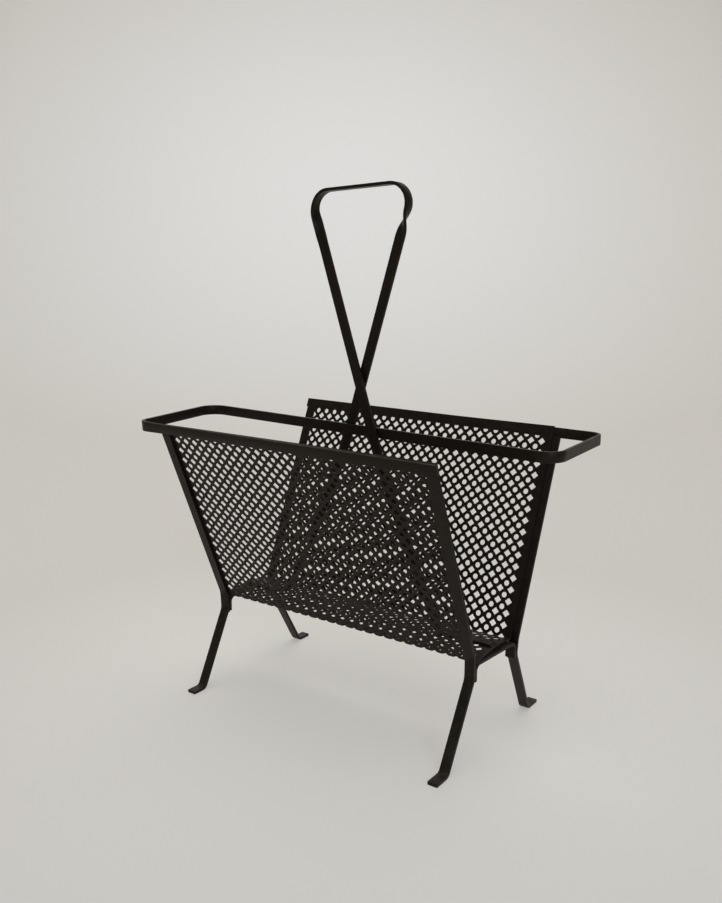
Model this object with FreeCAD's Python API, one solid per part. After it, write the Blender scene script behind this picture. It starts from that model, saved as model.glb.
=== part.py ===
"""Magazine rack: a folded perforated steel basket on four flat-strip legs, with an S-shaped top band and a
crossed, twisted carrying handle. Millimetres, +Z up. X runs along the length, Y across the basket, and the
origin is on the ground under the middle of the rack."""

import FreeCAD, Part
import math
import os

V = FreeCAD.Vector
X_AXIS, Y_AXIS, Z_AXIS = V(1, 0, 0), V(0, 1, 0), V(0, 0, 1)

# Perforated sheet. The holes sit on a square grid: diamonds on its points, round holes between four diamonds.
PITCH = 11.0
HOLE_SIDE = 5.2            # side of the square punch of a diamond
HOLE_RADIUS = 2.6
COLUMNS = 26               # diamonds along the length
WALL_ROWS = 17             # diamonds up each wall, above the row that each fold cuts through
FLOOR_ROWS = 5             # diamonds across the floor, between the two folds
SHEET = 1.0                # thickness
FOLD_RADIUS = 1.2          # of the middle of the sheet
LEAN = math.radians(22.1)  # each wall leans out from vertical
WALL_LENGTH = 203.0        # up the slope, from the fold to the top edge
HALF_LENGTH = 147.5        # from the middle to each end of the sheet
FOLD_Z = 86.7              # lowest point of the middle of the sheet, at the folds, above the ground
ARCH = math.radians(13)    # slope of the floor's edges: the floor bows up between the folds

# Flat strip, for everything else.
WIDE, THICK = 9.6, 2.9

# Top band, an S in plan: along the front wall, round the left end, down the middle, and so on.
BAND_LEFT_FRONT = 183.2    # from the middle of the rack to the corners of the strip's middle line
BAND_LEFT_MIDDLE = 197.0
BAND_RIGHT_MIDDLE = 199.0
BAND_RIGHT_REAR = 194.8
BAND_SKEW = 4.0            # the middle run's ends are off the middle plane by this, the left one to the rear
# How far each run lies above the height of the walls' top edges, halfway along, and how much it drops for each
# millimetre to the right.
BAND_LIFTS = {"front": (0.2, 0.0032), "middle": (0.4, 0.0136), "rear": (0.7, 0.0092)}
BAND_UNTWIST = 44.0        # past the end of a wall the strip rights itself over this length
BAND_RIGHT_END, BAND_LEFT_END = 148.8, 151.0   # from the middle to the ends, at the front right and rear left
BAND_WALL_CORNER = 12.0    # corner radius beside a wall
BAND_MIDDLE_CORNER = 17.0  # corner radius beside the middle run

# Carrying handle. Its legs cross above the band, the one that comes down on the right in front.
GRIP_CORNERS = {-1: (-60.6, 489.3), 1: (56.0, 493.9)}   # x and z of the corners of the strip's middle line
GRIP_CORNER = 17.4
UPPER_TWISTS = {-1: (480.0, 438.0), 1: (472.0, 446.0)}  # heights between which the strip is twisted a quarter
CROSSING_Z = 315.9
CROSS_ANGLE = math.radians(18.45)   # of the legs beside the band from vertical
SPLAY_ANGLE = math.radians(27.5)    # of the lower ends of the legs from vertical
LEG_OFFSET = 3.4           # of each leg from the middle plane, where the band passes between them
GRASP_ABOVE, GRASP_BELOW = 285.0, 260.0   # heights between which the legs lie flat beside the band
LOWER_TWIST_TOP, LOWER_TWIST_BOTTOM = 170.0, 125.0   # heights of the lower quarter twist
FOOT_BEND = 12.0           # radius where a leg turns out along the floor
FOOT_END = 144.5           # each handle foot reaches this far along the floor

# Legs and crossbars.
# For each leg: its sides to the right (+1 or -1) and to the rear, how far out its outer edge is beside the
# basket and at the foot, and how far out its tip is.
LEGS = {
    "leg_front_left": (-1, -1, 152.8, 145.2, 92.5),
    "leg_front_right": (1, -1, 147.3, 147.8, 96.0),
    "leg_rear_left": (-1, 1, 149.4, 148.2, 93.5),
    "leg_rear_right": (1, 1, 154.6, 148.0, 96.0),
}
TAPER_Z = 105.0            # below this height the legs lean towards their feet
UPRIGHT_Y = 35.8           # of the upright stretch under the basket
ANKLE_Y = 77.3
KNEE_Z = 72.0              # where the upright stretch ends
LEG_TOP_BEND, KNEE_BEND, ANKLE_BEND = 20.0, 15.0, 6.0
CROSSBAR_BEND = 6.5
CROSSBAR_DROP = 16.8       # height of the turned-down ends, from the sheet
CROSSBARS = {
    "crossbar_left": ("leg_front_left", "leg_rear_left"),
    "crossbar_right": ("leg_front_right", "leg_rear_right"),
}

BEAD = 2.2                 # leg length of a fillet weld
BEAD_CROWN = 0.62          # how far out its bulging face comes, in legs
CROSSBAR_BEAD = 6.0        # length of the welds under the crossbars' ends

# Worked out from the above.
FOLD_TURN = math.pi / 2 - LEAN + ARCH
FOLD_ARC = FOLD_RADIUS * FOLD_TURN
FLAT_HALF = (FLOOR_ROWS + 1) / 2 * PITCH - FOLD_ARC / 2     # along the sheet, from the middle to a fold
ARCH_RADIUS = FLAT_HALF / ARCH
ARCH_CENTRE_Z = FOLD_Z - ARCH_RADIUS * math.cos(ARCH) + FOLD_RADIUS * (1 - math.cos(ARCH))
FOLD_CENTRE = V(0, (ARCH_RADIUS - FOLD_RADIUS) * math.sin(ARCH), FOLD_Z + FOLD_RADIUS)
UP_SLOPE = V(0, math.sin(LEAN), math.cos(LEAN))        # of the rear wall
OUTWARD = V(0, math.cos(LEAN), -math.sin(LEAN))        # of the rear wall
WALL_FOOT = FOLD_CENTRE + OUTWARD * FOLD_RADIUS
WALL_TOP = WALL_FOOT + UP_SLOPE * (WALL_LENGTH - FOLD_ARC / 2)
STRIP_ON_WALL = SHEET / 2 + THICK / 2                  # from the middle of the sheet to that of a strip on it
BAND_ON_WALL = WALL_TOP - UP_SLOPE * (WIDE / 2) + OUTWARD * STRIP_ON_WALL
FLOOR_TOP = ARCH_CENTRE_Z + ARCH_RADIUS + SHEET / 2    # along the middle of the arched floor
FOLD_UNDER = FOLD_Z - SHEET / 2
LEG_TOP = WALL_TOP - UP_SLOPE * WIDE + OUTWARD * STRIP_ON_WALL
QUARTER = math.pi / 2

# Sections along each round or twisted stretch of strip.
BEND_STEPS, TWIST_STEPS, TAIL_STEPS = 6, 8, 3


def smooth(t):
    t = min(1.0, max(0.0, t))
    return t * t * (3 - 2 * t)


def turned(shape):
    """A copy of the shape turned half round the rack's upright axis."""
    copy = shape.copy()
    copy.rotate(V(0, 0, 0), Z_AXIS, 180)
    return copy


def joined(pieces):
    """One solid from pieces that meet face to face."""
    solid = pieces[0].multiFuse(pieces[1:]).removeSplitter()
    return solid.Solids[0] if len(solid.Solids) == 1 else solid


# ---------------------------------------------------------------- perforated sheet

REACH = HOLE_SIDE / math.sqrt(2)     # from a diamond's middle to its corners


def diamond(x, y):
    corners = [V(x + REACH, y), V(x, y + REACH), V(x - REACH, y), V(x, y - REACH), V(x + REACH, y)]
    return Part.makePolygon(corners)


def round_hole(x, y):
    return Part.Wire(Part.makeCircle(HOLE_RADIUS, V(x, y, 0)))


def diamond_columns():
    return [(i - (COLUMNS - 1) / 2) * PITCH for i in range(COLUMNS)]


def round_columns():
    return [(i - (COLUMNS - 2) / 2) * PITCH for i in range(COLUMNS - 1)]


def wall():
    """The rear wall: drawn flat with y up the slope, then stood up. The diamonds on the fold notch its foot."""
    notch = REACH - FOLD_ARC / 2
    corners = [V(-HALF_LENGTH, 0)]
    for x in diamond_columns():
        corners += [V(x - notch, 0), V(x, notch), V(x + notch, 0)]
    corners += [V(HALF_LENGTH, 0), V(HALF_LENGTH, WALL_LENGTH - FOLD_ARC / 2)]
    corners += [V(-HALF_LENGTH, WALL_LENGTH - FOLD_ARC / 2), corners[0]]
    holes = []
    for row in range(WALL_ROWS + 1):
        y = (row + 0.5) * PITCH - FOLD_ARC / 2
        holes += [round_hole(x, y) for x in round_columns()]
        if row > 0:
            holes += [diamond(x, y - PITCH / 2) for x in diamond_columns()]
    face = Part.Face([Part.makePolygon(corners)] + [hole.reversed() for hole in holes])
    face.translate(V(0, 0, -SHEET / 2))
    solid = face.extrude(V(0, 0, SHEET))
    solid.rotate(V(0, 0, 0), X_AXIS, 90 - math.degrees(LEAN))
    solid.translate(WALL_FOOT)
    return solid


def floor_side(level):
    """The floor's section from fold to fold, level above the middle of the sheet."""
    arch, fold = ARCH_RADIUS + level, FOLD_RADIUS - level

    def on_fold(side, angle):
        y = side * (FOLD_CENTRE.y + fold * math.sin(angle))
        return V(-HALF_LENGTH, y, FOLD_CENTRE.z - fold * math.cos(angle))

    edges = []
    for side in (-1, 1):
        ends = [on_fold(side, angle) for angle in (QUARTER - LEAN, (QUARTER - LEAN - ARCH) / 2, -ARCH)]
        edges.append(Part.Arc(*ends).toShape())
    crest = V(-HALF_LENGTH, 0, ARCH_CENTRE_Z + arch)
    edges.insert(1, Part.Arc(on_fold(-1, -ARCH), crest, on_fold(1, -ARCH)).toShape())
    return edges


def floor():
    """The arched floor of the basket with both folds, punched."""
    upper, lower = floor_side(SHEET / 2), floor_side(-SHEET / 2)
    ends = [Part.makeLine(a.Vertexes[0].Point, b.Vertexes[0].Point) for a, b in zip(upper[::2], lower[::2])]
    outline = Part.Wire(Part.__sortEdges__(upper + lower + ends))
    shell = Part.Face(outline).extrude(V(2 * HALF_LENGTH, 0, 0))
    punches = []
    for row in range(FLOOR_ROWS + 2):
        angle = (row - (FLOOR_ROWS + 1) / 2) * PITCH / ARCH_RADIUS
        punches += [diamond(x, ARCH_RADIUS * math.sin(angle)) for x in diamond_columns()]
    for row in range(FLOOR_ROWS + 1):
        angle = (row - FLOOR_ROWS / 2) * PITCH / ARCH_RADIUS
        punches += [round_hole(x, ARCH_RADIUS * math.sin(angle)) for x in round_columns()]
    depth = 2 * PITCH
    solids = []
    for punch in punches:
        punch.translate(V(0, 0, FOLD_Z - depth / 2))
        solids.append(Part.Face(punch).extrude(V(0, 0, depth)))
    return shell.cut(Part.makeCompound(solids)).Solids[0]


# ---------------------------------------------------------------- routes and sections of flat strip

def route(corners, radii):
    """The straight and round stretches along corners (a, b), rounded by radii: lists of (a, b, heading)."""
    headings = [math.atan2(end[1] - start[1], end[0] - start[0]) for start, end in zip(corners, corners[1:])]
    stretches, (a, b) = [], corners[0]
    for corner, radius, before, after in zip(corners[1:], radii, headings, headings[1:]):
        turn = math.remainder(after - before, 2 * math.pi)
        tangent = radius * math.tan(abs(turn) / 2)
        side = math.copysign(radius, turn)
        bend_a, bend_b = corner[0] - tangent * math.cos(before), corner[1] - tangent * math.sin(before)
        stretches.append([(a, b, before), (bend_a, bend_b, before)])
        centre_a, centre_b = bend_a - side * math.sin(before), bend_b + side * math.cos(before)
        bend = []
        for t in steps(BEND_STEPS):
            heading = before + t * turn
            a, b = centre_a + side * math.sin(heading), centre_b - side * math.cos(heading)
            bend.append((a, b, heading))
        stretches.append(bend)
    stretches.append([(a, b, headings[-1]), (*corners[-1], headings[-1])])
    return stretches


def steps(count):
    return [i / count for i in range(count + 1)]


def section(centre, wide, thick):
    """The strip's rectangular section: wide and thick are unit directions."""
    a, b = wide * (WIDE / 2), thick * (THICK / 2)
    return Part.makePolygon([centre + a + b, centre - a + b, centre - a - b, centre + a - b, centre + a + b])


def span(frames):
    """A stretch of strip through (centre, wide, thick) frames; two frames make a straight one."""
    return Part.makeLoft([section(*frame) for frame in frames], True, len(frames) == 2)


def strip(stretches):
    return joined([span(frames) for frames in stretches])


# ---------------------------------------------------------------- legs and crossbars

def upright_strip(corners, radii, x_at):
    """A strip bent along corners (y, z), with its width along X; x_at gives the x of its middle at y, z."""
    def frame(y, z, heading):
        return V(x_at(y, z), y, z), X_AXIS, V(0, -math.sin(heading), math.cos(heading))

    return strip([[frame(*place) for place in stretch] for stretch in route(corners, radii)])


def leg_x(node, z):
    """The middle of a leg's width at height z."""
    right, _, basket_x, foot_x, _ = LEGS[node]
    down = min(max((TAPER_Z - z) / (TAPER_Z - THICK / 2), 0), 1)
    return right * (basket_x - WIDE / 2 + down * (foot_x - basket_x))


def leg(node):
    """Down the wall, upright past the crossbar, out to the ankle, and a flat foot."""
    right, rear, basket_x, _, tip_y = LEGS[node]
    edges_x = (right * basket_x, right * (basket_x - WIDE))
    top = LEG_TOP + UP_SLOPE * (min(band_lift(x, rear * BAND_ON_WALL.y) for x in edges_x) / UP_SLOPE.z)
    turn_z = LEG_TOP.z - (LEG_TOP.y - UPRIGHT_Y) / math.tan(LEAN)
    corners = [(rear * top.y, top.z), (rear * UPRIGHT_Y, turn_z), (rear * UPRIGHT_Y, KNEE_Z)]
    corners += [(rear * ANKLE_Y, THICK / 2), (rear * tip_y, THICK / 2)]
    return upright_strip(corners, (LEG_TOP_BEND, KNEE_BEND, ANKLE_BEND), lambda y, z: leg_x(node, z))


def crossbar_places(node):
    """The tips (x, y, z) of the crossbar's turned-down ends, at the front and at the rear."""
    tip_z, reach = FOLD_UNDER - CROSSBAR_DROP, UPRIGHT_Y - THICK
    front_leg, rear_leg = CROSSBARS[node]
    return [(leg_x(front_leg, tip_z), -reach, tip_z), (leg_x(rear_leg, tip_z), reach, tip_z)]


def crossbar(node):
    """Under the end of the floor, with its ends turned down against the legs."""
    (front_x, front_y, tip_z), (rear_x, rear_y, _) = crossbar_places(node)
    top = FOLD_UNDER - THICK / 2
    corners = [(front_y, tip_z), (front_y, top), (rear_y, top), (rear_y, tip_z)]
    slope = (rear_x - front_x) / (rear_y - front_y)

    def x_at(y, z):
        return front_x + (y - front_y) * slope

    return upright_strip(corners, (CROSSBAR_BEND, CROSSBAR_BEND), x_at)


# ---------------------------------------------------------------- top band

def band_lift(x, y):
    """How far the band lies above the height of the walls' top edges."""
    rest, drop = BAND_LIFTS["middle"]
    wall_rest, wall_drop = BAND_LIFTS["rear" if y > 0 else "front"]
    share = min(abs(y) / BAND_ON_WALL.y, 1)
    return rest + share * (wall_rest - rest) - x * (drop + share * (wall_drop - drop))


def band():
    """One S-shaped strip. It leans with the walls where it lies on them, and stands upright in the middle."""
    side_y, height = BAND_ON_WALL.y, BAND_ON_WALL.z
    corners = [(BAND_RIGHT_END, -side_y), (-BAND_LEFT_FRONT, -side_y), (-BAND_LEFT_MIDDLE, BAND_SKEW)]
    corners += [(BAND_RIGHT_MIDDLE, -BAND_SKEW), (BAND_RIGHT_REAR, side_y), (-BAND_LEFT_END, side_y)]
    radii = (BAND_WALL_CORNER, BAND_MIDDLE_CORNER, BAND_MIDDLE_CORNER, BAND_WALL_CORNER)
    plan = route(corners, radii)
    front, left_corner, left_end, left_bend, middle, right_bend, right_end, right_corner, rear = plan

    def frame(x, y, heading, wall):
        """wall says which one the strip comes off: 1 the front one, -1 the rear one, 0 neither."""
        past = min(max((abs(x) - HALF_LENGTH) / BAND_UNTWIST, 0), 1)
        lean = wall * LEAN * (1 - smooth(past))
        lift = band_lift(x, y)
        y += y / side_y * lift * math.tan(LEAN)
        left = V(-math.sin(heading), math.cos(heading), 0)
        wide = Z_AXIS * math.cos(lean) + left * math.sin(lean)
        return V(x, y, height + lift), wide, left * math.cos(lean) - Z_AXIS * math.sin(lean)

    def run(start, end, count, wall):
        (x, y, heading), (x_end, y_end, _) = start, end
        return [frame(x + t * (x_end - x), y + t * (y_end - y), heading, wall) for t in steps(count)]

    def bend(places, wall):
        return [frame(*place, wall) for place in places]

    front_end = (-HALF_LENGTH, -side_y, front[0][2])
    rear_start = (HALF_LENGTH, side_y, rear[0][2])
    return strip([
        run(front[0], front_end, 1, 1), run(front_end, front[1], BEND_STEPS, 1), bend(left_corner, 1),
        run(*left_end, BEND_STEPS, 1), bend(left_bend, 0), run(*middle, 1, 0), bend(right_bend, 0),
        run(*right_end, BEND_STEPS, -1), bend(right_corner, -1), run(rear[0], rear_start, BEND_STEPS, -1),
        run(rear_start, rear[1], 1, -1),
    ])


# ---------------------------------------------------------------- carrying handle

def handle_frame(side, x, z, down, twist, y):
    """A frame on the half of the handle that starts to side (+1 or -1) of the grip's middle. down is how far
    the strip has turned from level, and twist how far it is twisted about itself."""
    outward = V(side * math.sin(down), 0, math.cos(down))
    wide = Y_AXIS * math.cos(twist) - outward * math.sin(twist)
    thick = outward * math.cos(twist) + Y_AXIS * math.sin(twist)
    return V(side * x, y, z), wide, thick


def grasp_x(z):
    """Half the distance between the legs, level with the band."""
    return (z - CROSSING_Z) * math.tan(CROSS_ANGLE)


def upper_leg(side):
    """The straight upper leg under the grip's corner on side: a function from height to (x, z, down)."""
    x_top, z_top = GRIP_CORNERS[side]
    x_low, z_low = side * grasp_x(GRASP_ABOVE), GRASP_ABOVE
    lean = (x_top - x_low) / (z_top - z_low)
    return lambda z: (side * (x_low + (z - z_low) * lean), z, QUARTER + side * math.atan(lean))


def upper_twist(side, z):
    """How far the strip is twisted at height z, on its way down under the grip's corner on side."""
    top, bottom = UPPER_TWISTS[side]
    return QUARTER * smooth((top - z) / (top - bottom))


def grip():
    """The top of the handle: the bar, its corners and the quarter twists that start in them."""
    ends = [(side * grasp_x(GRASP_ABOVE), GRASP_ABOVE) for side in (-1, 1)]
    bar = route([ends[0], GRIP_CORNERS[-1], GRIP_CORNERS[1], ends[1]], (GRIP_CORNER, GRIP_CORNER))[1:-1]
    stretches = []
    for stretch, side in zip(bar, (-1, 1, 1)):
        places = [(side * x, z, -side * heading, upper_twist(side, z), 0) for x, z, heading in stretch]
        stretches.append([handle_frame(side, *place) for place in places])
    for side, corner_end in ((-1, bar[0][0]), (1, bar[2][-1])):
        place, bottom = upper_leg(side), UPPER_TWISTS[side][1]
        heights = [corner_end[1] + t * (bottom - corner_end[1]) for t in steps(TWIST_STEPS)]
        stretches.append([handle_frame(side, *place(z), upper_twist(side, z), 0) for z in heights])
    return strip(stretches)


def handle_leg(side, leg_side):
    """The leg under the grip's end on side; it passes the band on leg_side (+1 or -1 along Y)."""
    offset = leg_side * LEG_OFFSET
    foot_z = FLOOR_TOP + THICK / 2
    bend_z = foot_z + FOOT_BEND * (1 - math.sin(SPLAY_ANGLE))
    # Below the band the leg bows gently outwards: the sine of its angle grows evenly with the drop.
    bow = (GRASP_BELOW - bend_z) / (math.sin(SPLAY_ANGLE) - math.sin(CROSS_ANGLE))

    def on_bow(z, twist, y):
        angle = math.asin(math.sin(CROSS_ANGLE) + (GRASP_BELOW - z) / bow)
        x = grasp_x(GRASP_BELOW) - bow * (math.cos(CROSS_ANGLE) - math.cos(angle))
        return x, z, QUARTER + angle, twist, y

    def stretch(top, bottom, count, twist=lambda t: 0, y=lambda t: 0):
        """Down the bow from top to bottom; twist and y are functions of how far down it is, from 0 to 1."""
        return [on_bow(top + t * (bottom - top), twist(t), y(t)) for t in steps(count)]

    grasp = [(grasp_x(z), z, QUARTER + CROSS_ANGLE, QUARTER, offset) for z in (GRASP_ABOVE, GRASP_BELOW)]
    lower = stretch(
        GRASP_BELOW, LOWER_TWIST_TOP, TWIST_STEPS, lambda t: QUARTER, lambda t: offset * smooth(1 - t)
    )
    untwist = stretch(LOWER_TWIST_TOP, LOWER_TWIST_BOTTOM, TWIST_STEPS, lambda t: QUARTER * smooth(1 - t))
    tail = stretch(LOWER_TWIST_BOTTOM, bend_z, TAIL_STEPS)
    bend = []
    for t in steps(BEND_STEPS):
        angle = SPLAY_ANGLE + t * (QUARTER - SPLAY_ANGLE)
        x = tail[-1][0] - FOOT_BEND * (math.cos(SPLAY_ANGLE) - math.cos(angle))
        bend.append((x, foot_z + FOOT_BEND * (1 - math.sin(angle)), QUARTER + angle, 0, 0))
    foot = [bend[-1], (-FOOT_END, foot_z, math.pi, 0, 0)]
    runs = (grasp, lower, untwist, tail, bend, foot)
    stretches = [[handle_frame(side, *place) for place in run] for run in runs]
    upper = [handle_frame(side, *upper_leg(side)(UPPER_TWISTS[side][1]), QUARTER, 0), stretches[0][0]]
    return strip([upper] + stretches)


# ---------------------------------------------------------------- welds

def bead(start, end, first, second):
    """A fillet weld along the corner from start to end, with its legs along unit directions."""
    a, b = start + first * BEAD, start + second * BEAD
    crown = start + (first + second) * (BEAD_CROWN * BEAD)
    edges = [Part.makeLine(start, a), Part.Arc(a, crown, b).toShape(), Part.makeLine(b, start)]
    return Part.Face(Part.Wire(edges)).extrude(end - start)


def crossbar_welds():
    """Under each turned-down crossbar end, against the leg."""
    beads = []
    for node in CROSSBARS:
        for x, y, z in crossbar_places(node):
            side = math.copysign(1, y)
            start = V(x - CROSSBAR_BEAD / 2, y + side * THICK / 2, z)
            beads.append(bead(start, start + X_AXIS * CROSSBAR_BEAD, V(0, -side, 0), V(0, 0, -1)))
    return beads


def handle_foot_welds():
    """Across the tip of each handle foot, on the sheet."""
    tip = bead(V(FOOT_END, -WIDE / 2, FLOOR_TOP), V(FOOT_END, WIDE / 2, FLOOR_TOP), X_AXIS, Z_AXIS)
    return [tip, turned(tip)]


def write(node, shapes):
    shape = shapes if isinstance(shapes, Part.Shape) else Part.makeCompound(shapes)
    assert shape.isValid(), node
    shape.exportStep(f"parts/{node}.step")
    print(node, len(shape.Solids), "solid(s)", round(sum(solid.Volume for solid in shape.Solids)), "mm3")


def main():
    os.makedirs("parts", exist_ok=True)
    rear_wall = wall()
    write("rear_grille", rear_wall)
    write("front_grille", turned(rear_wall))
    write("floor_grille", floor())
    write("top_band", band())
    write("handle_grip", grip())
    write("handle_leg_front", handle_leg(-1, -1))
    write("handle_leg_rear", handle_leg(1, 1))
    for node in LEGS:
        write(node, leg(node))
    for node in CROSSBARS:
        write(node, crossbar(node))
    write("crossbar_welds", crossbar_welds())
    write("handle_foot_welds", handle_foot_welds())


main()
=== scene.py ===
"""Studio scene of the magazine rack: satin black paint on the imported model, softened strip edges, a pale round
stage, soft light and the camera. Metres, in the model's own frame: +Z up, and the feet stand on z = 0."""

import math

import bmesh
import bpy
from mathutils import Matrix, Vector


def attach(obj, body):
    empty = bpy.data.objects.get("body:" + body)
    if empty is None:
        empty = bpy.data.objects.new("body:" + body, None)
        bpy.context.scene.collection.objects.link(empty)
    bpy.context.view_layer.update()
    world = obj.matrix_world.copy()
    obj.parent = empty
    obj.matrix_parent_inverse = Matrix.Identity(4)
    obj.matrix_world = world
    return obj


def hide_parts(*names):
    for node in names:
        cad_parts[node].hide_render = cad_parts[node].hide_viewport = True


FRAME_WIDTH, FRAME_HEIGHT = 722, 903    # pixels

# Camera.
CAMERA_PLACE = Vector((0.4910, -0.6912, 0.4142))
CAMERA_AZIMUTH = math.radians(35.36)    # of the camera seen from the rack, turned from the front
CAMERA_ELEVATION = math.radians(10.98)
CAMERA_ROLL = math.radians(0.42)
FOCAL_PIXELS = 913.3                    # focal length over the size of a pixel
SENSOR = 36.0                           # millimetres along the longer side of the frame

# Paint. A scale is of a noise, to a metre, and a range is the part of that noise that is spread out and used.
PAINT_IOR = 1.5
PAINT_SPECULAR = 0.16
PAINT_SHEEN = (1.0, 0.87, 0.74, 1)
CLOUD_SCALE, CLOUD_RANGE = 38.0, (0.32, 0.68)
GLOSS_SCALE, GLOSS_DETAIL, GLOSS_RANGE = 90.0, 4.0, (0.3, 0.7)
SMOOTHER, ROUGHER = 0.05, 0.06          # how far the roughness goes down and up from the paint's own
PEEL_SCALE, PEEL_DEPTH = 260.0, 0.0001
GRAIN_SCALE, GRAIN_DEPTH = 1500.0, 0.00004
BUMP_DETAIL = 2.0

# Dust, and a painted highlight: what faces up is made lighter, as top faces and top edges catching the top
# light.
DUST_AND_TOP_HIGHLIGHT = (0.20, 0.17, 0.135, 1)
DUST_AND_HIGHLIGHT_FACING = (0.25, 0.95)              # upward part of the normal where the dust and painted highlight start, and where they are full
DUST_AND_HIGHLIGHT_SCALE, DUST_AND_HIGHLIGHT_DETAIL, DUST_AND_HIGHLIGHT_RANGE = 140.0, 5.0, (0.35, 0.7)
DUST_AND_HIGHLIGHT_SHARE = (0.05, 0.27)               # of the dust's and painted highlight's colour in the paint's, where they are full

# Strips.
STRIP_EDGE = 0.0004                     # width of the rounding along a strip's edges
EDGE_ANGLE = math.radians(40)           # an edge that turns by less isn't rounded
JOIN_GAP = 0.00001                      # vertices closer than this are one
KEY_STEPS = 100000                      # to a metre, in a vertex's key
HANDLE_NODES = ("handle_grip", "handle_leg_front", "handle_leg_rear")

# Stage: a round floor that curves up into a wall all round.
FLAT_RADIUS, STAGE_RADIUS = 0.8, 4.0
WALL_RISE = 0.10                        # height of the wall over the cube of its distance past the flat
STAGE_RINGS, STAGE_SIDES = 32, 128
# the paper's colour, also the glow's, goes from PAPER_MIDDLE to the warmer PAPER_EDGE away from the glow's
# centre: a painted warm tint of the dimmer stage
PAPER_MIDDLE, PAPER_EDGE = (0.715, 0.718, 0.722, 1), (0.70, 0.676, 0.630, 1)

# Glow of the stage, painted light: most around a place on the wall behind the rack, a painted lighter patch, and
# least GLOW_REACH away from it.
GLOW_CENTRE, GLOW_REACH = (-1.9, 2.6, 0.4), 2.0
GLOW_MIDDLE, GLOW_EDGE = 0.84, 0.47
POOL_START, POOL_END, POOL_SHARE = 0.15, 0.5, 0.74      # painted light under the rack: full there, lifting the rack's shadow, and this share of it further out
SIDE_START, SIDE_END, SIDE_SHARE = 1.3, 2.6, 0.3        # the same to either side of the camera's line: a painted falloff towards the sides

# Light.
WINDOW_SPREAD = math.radians(60)
WORLD_COLOUR, WORLD_STRENGTH = (1.0, 0.99, 0.97, 1), 0.12

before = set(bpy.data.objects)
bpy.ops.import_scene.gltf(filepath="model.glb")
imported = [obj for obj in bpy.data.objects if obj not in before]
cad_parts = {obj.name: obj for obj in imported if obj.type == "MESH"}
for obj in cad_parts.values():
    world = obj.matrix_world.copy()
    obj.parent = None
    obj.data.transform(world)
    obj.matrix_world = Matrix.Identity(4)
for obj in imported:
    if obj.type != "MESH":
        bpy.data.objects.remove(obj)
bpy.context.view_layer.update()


# ---------------------------------------------------------------- materials

class Nodes:
    """A short way to build a material's node tree."""

    def __init__(self, name):
        self.material = bpy.data.materials.new(name)
        self.material.use_nodes = True
        self.tree = self.material.node_tree
        self.tree.nodes.clear()

    def add(self, kind, inputs=None, **settings):
        node = self.tree.nodes.new(kind)
        for key, value in settings.items():
            setattr(node, key, value)
        for key, value in (inputs or {}).items():
            if isinstance(value, bpy.types.NodeSocket):
                self.tree.links.new(value, node.inputs[key])
            else:
                node.inputs[key].default_value = value
        return node

    def noise(self, where, scale, detail=3.0, roughness=0.55):
        inputs = {"Vector": where, "Scale": scale, "Detail": detail, "Roughness": roughness}
        return self.add("ShaderNodeTexNoise", inputs).outputs["Fac"]

    def spread(self, value, low, high, to_low, to_high):
        """value mapped from low..high to to_low..to_high, and held at its ends."""
        inputs = {"Value": value, "From Min": low, "From Max": high, "To Min": to_low, "To Max": to_high}
        return self.add("ShaderNodeMapRange", inputs).outputs["Result"]

    def mix(self, factor, first, second):
        node = self.add("ShaderNodeMix", data_type="RGBA")
        for key, value in (("Factor", factor), ("A", first), ("B", second)):
            socket = next(s for s in node.inputs if s.name == key and s.enabled)
            if isinstance(value, bpy.types.NodeSocket):
                self.tree.links.new(value, socket)
            else:
                socket.default_value = value
        return next(s for s in node.outputs if s.enabled)

    def multiply(self, first, second):
        return self.add("ShaderNodeMath", {0: first, 1: second}, operation="MULTIPLY").outputs[0]

    def finish(self, shader):
        self.add("ShaderNodeOutputMaterial", {"Surface": shader})
        return self.material


def satin_paint(name, dark, light, roughness, peel):
    """Black paint on steel: a faint cloudy tone, orange peel, and on what faces up thin dust that is also a
    painted highlight.
    """
    n = Nodes(name)
    where = n.add("ShaderNodeTexCoord").outputs["Object"]
    cloud = n.spread(n.noise(where, CLOUD_SCALE), *CLOUD_RANGE, 0.0, 1.0)
    tone = n.mix(cloud, (*dark, 1), (*light, 1))
    normal = n.add("ShaderNodeNewGeometry").outputs["Normal"]
    up = n.add("ShaderNodeSeparateXYZ", {0: normal}).outputs["Z"]
    facing = n.spread(up, *DUST_AND_HIGHLIGHT_FACING, 0.0, 1.0)
    speckle = n.spread(n.noise(where, DUST_AND_HIGHLIGHT_SCALE, DUST_AND_HIGHLIGHT_DETAIL), *DUST_AND_HIGHLIGHT_RANGE, *DUST_AND_HIGHLIGHT_SHARE)
    # what faces up is mixed towards the dust colour: real dust, and a painted highlight of the top light on top
    # faces and edges
    tone = n.mix(n.multiply(facing, speckle), tone, DUST_AND_TOP_HIGHLIGHT)
    gloss = n.noise(where, GLOSS_SCALE, GLOSS_DETAIL)
    rough = n.spread(gloss, *GLOSS_RANGE, roughness - SMOOTHER, roughness + ROUGHER)
    grain = n.noise(where, GRAIN_SCALE, BUMP_DETAIL)
    waves = n.noise(where, PEEL_SCALE, BUMP_DETAIL)
    fine = n.add("ShaderNodeBump", {"Height": grain, "Strength": peel, "Distance": GRAIN_DEPTH})
    bump = n.add("ShaderNodeBump", {
        "Height": waves, "Strength": peel, "Distance": PEEL_DEPTH, "Normal": fine.outputs[0],
    })
    shader = n.add("ShaderNodeBsdfPrincipled", {
        "Base Color": tone, "Roughness": rough, "Normal": bump.outputs[0], "IOR": PAINT_IOR,
        "Specular IOR Level": PAINT_SPECULAR, "Specular Tint": PAINT_SHEEN,
    })
    return n.finish(shader.outputs[0])


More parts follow.
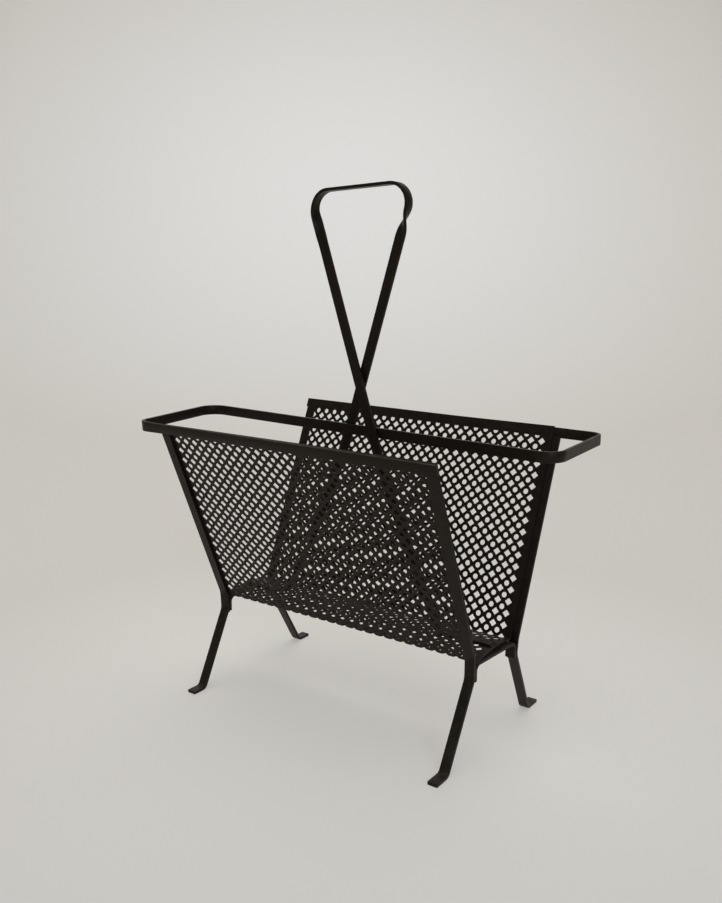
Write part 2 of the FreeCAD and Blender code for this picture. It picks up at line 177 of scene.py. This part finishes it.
def paper(name):
    """The pale, matt paper of the stage, with a soft glow of painted light: most behind the rack and under it,
    where it lifts the rack's shadow, less around.
    """
    n = Nodes(name)
    where = n.add("ShaderNodeTexCoord").outputs["Object"]

    def distance(point):
        return n.add("ShaderNodeVectorMath", {0: where, 1: point}, operation="DISTANCE").outputs["Value"]

    # colour warmer away from the glow's centre: a painted warm tint of the dimmer stage
    tone = n.mix(n.spread(distance(GLOW_CENTRE), 0.0, GLOW_REACH, 0.0, 1.0), PAPER_MIDDLE, PAPER_EDGE)
    # the glow is painted light: a lighter patch behind the rack, a painted fill under the rack, and dimmer sides
    glow = n.spread(distance(GLOW_CENTRE), 0.0, GLOW_REACH, GLOW_MIDDLE, GLOW_EDGE)
    glow = n.multiply(glow, n.spread(distance((0, 0, 0)), POOL_START, POOL_END, 1.0, POOL_SHARE))
    across = (math.cos(CAMERA_AZIMUTH), math.sin(CAMERA_AZIMUTH), 0)
    aside = n.add("ShaderNodeVectorMath", {0: where, 1: across}, operation="DOT_PRODUCT").outputs["Value"]
    aside = n.add("ShaderNodeMath", {0: aside}, operation="ABSOLUTE").outputs[0]
    glow = n.multiply(glow, n.spread(aside, SIDE_START, SIDE_END, 1.0, SIDE_SHARE))
    shader = n.add("ShaderNodeBsdfPrincipled", {
        "Base Color": tone, "Roughness": 0.9, "Specular IOR Level": 0.1, "Emission Color": tone,
        "Emission Strength": glow,
    })
    return n.finish(shader.outputs[0])


STRIP_PAINT = satin_paint("strip_paint", dark=(0.0100, 0.0062, 0.0041), light=(0.0150, 0.0100, 0.0068),
                          roughness=0.38, peel=0.35)
SHEET_PAINT = satin_paint("sheet_paint", dark=(0.0097, 0.0062, 0.0041), light=(0.0142, 0.0097, 0.0067),
                          roughness=0.44, peel=0.30)
WELD_PAINT = satin_paint("weld_paint", dark=(0.0094, 0.0060, 0.0040), light=(0.0146, 0.0098, 0.0068),
                         roughness=0.34, peel=0.60)


# ---------------------------------------------------------------- the rack

def dress(node, material):
    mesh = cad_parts[node].data
    mesh.materials.clear()
    mesh.materials.append(material)


def soften(strip):
    """Rounds a strip's sharp edges a little, as rolled bar under paint has them."""
    weld = strip.modifiers.new("weld", "WELD")
    weld.merge_threshold = JOIN_GAP
    round_off = strip.modifiers.new("edges", "BEVEL")
    round_off.width = STRIP_EDGE
    round_off.segments = 2
    round_off.limit_method = "ANGLE"
    round_off.angle_limit = EDGE_ANGLE
    round_off.harden_normals = True


def place_key(vertex):
    """A vertex's place, the same for vertices that meet."""
    return tuple(round(c * KEY_STEPS) for c in vertex.co)


def join_strip(name, nodes):
    """One piece of strip from nodes that meet face to face, without the faces inside the meetings."""
    shape = bmesh.new()
    for node in nodes:
        shape.from_mesh(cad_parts[node].data)
    owners = {}
    first = 0
    shape.verts.ensure_lookup_table()
    for node in nodes:
        count = len(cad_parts[node].data.vertices)
        for vertex in shape.verts[first:first + count]:
            owners.setdefault(place_key(vertex), set()).add(node)
        first += count
    inside = [face for face in shape.faces if all(len(owners[place_key(v)]) > 1 for v in face.verts)]
    bmesh.ops.delete(shape, geom=inside, context="FACES_ONLY")
    bmesh.ops.remove_doubles(shape, verts=shape.verts, dist=JOIN_GAP)
    mesh = bpy.data.meshes.new(name)
    shape.to_mesh(mesh)
    shape.free()
    mesh.materials.append(STRIP_PAINT)
    piece = bpy.data.objects.new(name, mesh)
    bpy.context.scene.collection.objects.link(piece)
    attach(piece, "root")
    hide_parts(*nodes)
    soften(piece)


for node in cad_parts:
    if node.endswith("_grille"):
        dress(node, SHEET_PAINT)
    elif node.endswith("_welds"):
        dress(node, WELD_PAINT)
    else:
        dress(node, STRIP_PAINT)
        if node not in HANDLE_NODES:
            soften(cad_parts[node])
join_strip("carrying_handle", HANDLE_NODES)


# ---------------------------------------------------------------- studio

def camera_axes():
    """The camera's right, up and back directions."""
    back = Vector((
        math.sin(CAMERA_AZIMUTH) * math.cos(CAMERA_ELEVATION),
        -math.cos(CAMERA_AZIMUTH) * math.cos(CAMERA_ELEVATION),
        math.sin(CAMERA_ELEVATION),
    ))
    level = Vector((math.cos(CAMERA_AZIMUTH), math.sin(CAMERA_AZIMUTH), 0))
    upright = back.cross(level)
    right = level * math.cos(CAMERA_ROLL) + upright * math.sin(CAMERA_ROLL)
    return right, back.cross(right), back


def add_camera():
    right, up, back = camera_axes()
    data = bpy.data.cameras.new("camera")
    data.sensor_width = SENSOR
    data.lens = FOCAL_PIXELS / max(FRAME_WIDTH, FRAME_HEIGHT) * SENSOR
    camera = bpy.data.objects.new("camera", data)
    camera.matrix_world = Matrix.Translation(CAMERA_PLACE) @ Matrix((right, up, back)).transposed().to_4x4()
    bpy.context.scene.collection.objects.link(camera)
    bpy.context.scene.camera = camera


def stage_point(radius, turn):
    height = WALL_RISE * max(0, radius - FLAT_RADIUS) ** 3
    return radius * math.sin(turn), radius * math.cos(turn), height


def add_stage():
    """The floor and the wall that it curves up into."""
    turns = [2 * math.pi * side / STAGE_SIDES for side in range(STAGE_SIDES)]
    radii = [STAGE_RADIUS * (ring + 1) / STAGE_RINGS for ring in range(STAGE_RINGS)]
    shape = bmesh.new()
    middle = shape.verts.new((0, 0, 0))
    rings = [[shape.verts.new(stage_point(radius, turn)) for turn in turns] for radius in radii]
    for side in range(STAGE_SIDES):
        after = (side + 1) % STAGE_SIDES
        shape.faces.new((middle, rings[0][after], rings[0][side]))
        for low, high in zip(rings, rings[1:]):
            shape.faces.new((low[side], low[after], high[after], high[side])).smooth = True
    mesh = bpy.data.meshes.new("stage")
    shape.to_mesh(mesh)
    shape.free()
    stage = bpy.data.objects.new("stage", mesh)
    mesh.materials.append(paper("stage_paper"))
    bpy.context.scene.collection.objects.link(stage)


def area_light(name, place, target, width, height, power, colour=(1, 1, 1)):
    data = bpy.data.lights.new(name, "AREA")
    data.shape = "RECTANGLE"
    data.size, data.size_y = width, height
    data.energy = power
    data.color = colour
    light = bpy.data.objects.new(name, data)
    light.location = place
    light.rotation_euler = (Vector(target) - Vector(place)).to_track_quat("-Z", "Y").to_euler()
    bpy.context.scene.collection.objects.link(light)
    return light


def add_lights():
    """A wide top light, one on the wall behind the rack, and a cool window that reaches only the rack."""
    area_light("top", place=(-0.1, 0.1, 2.2), target=(0.0, 0.0, 0.0), width=2.2, height=2.0, power=13.0)
    area_light("backdrop", place=(-0.9, 1.2, 2.6), target=(-1.9, 2.6, 0.6), width=1.6, height=1.6, power=9.0)
    window = area_light("window", place=(1.7, -1.45, 0.75), target=(0.0, 0.0, 0.25), width=0.7, height=0.7,
                        power=1.3, colour=(0.42, 0.64, 1.0))
    window.data.spread = WINDOW_SPREAD


def add_world():
    world = bpy.data.worlds.new("studio")
    world.use_nodes = True
    background = world.node_tree.nodes["Background"]
    background.inputs["Color"].default_value = WORLD_COLOUR
    background.inputs["Strength"].default_value = WORLD_STRENGTH
    bpy.context.scene.world = world


add_camera()
add_stage()
add_world()
add_lights()
bpy.context.scene.view_settings.view_transform = "Standard"
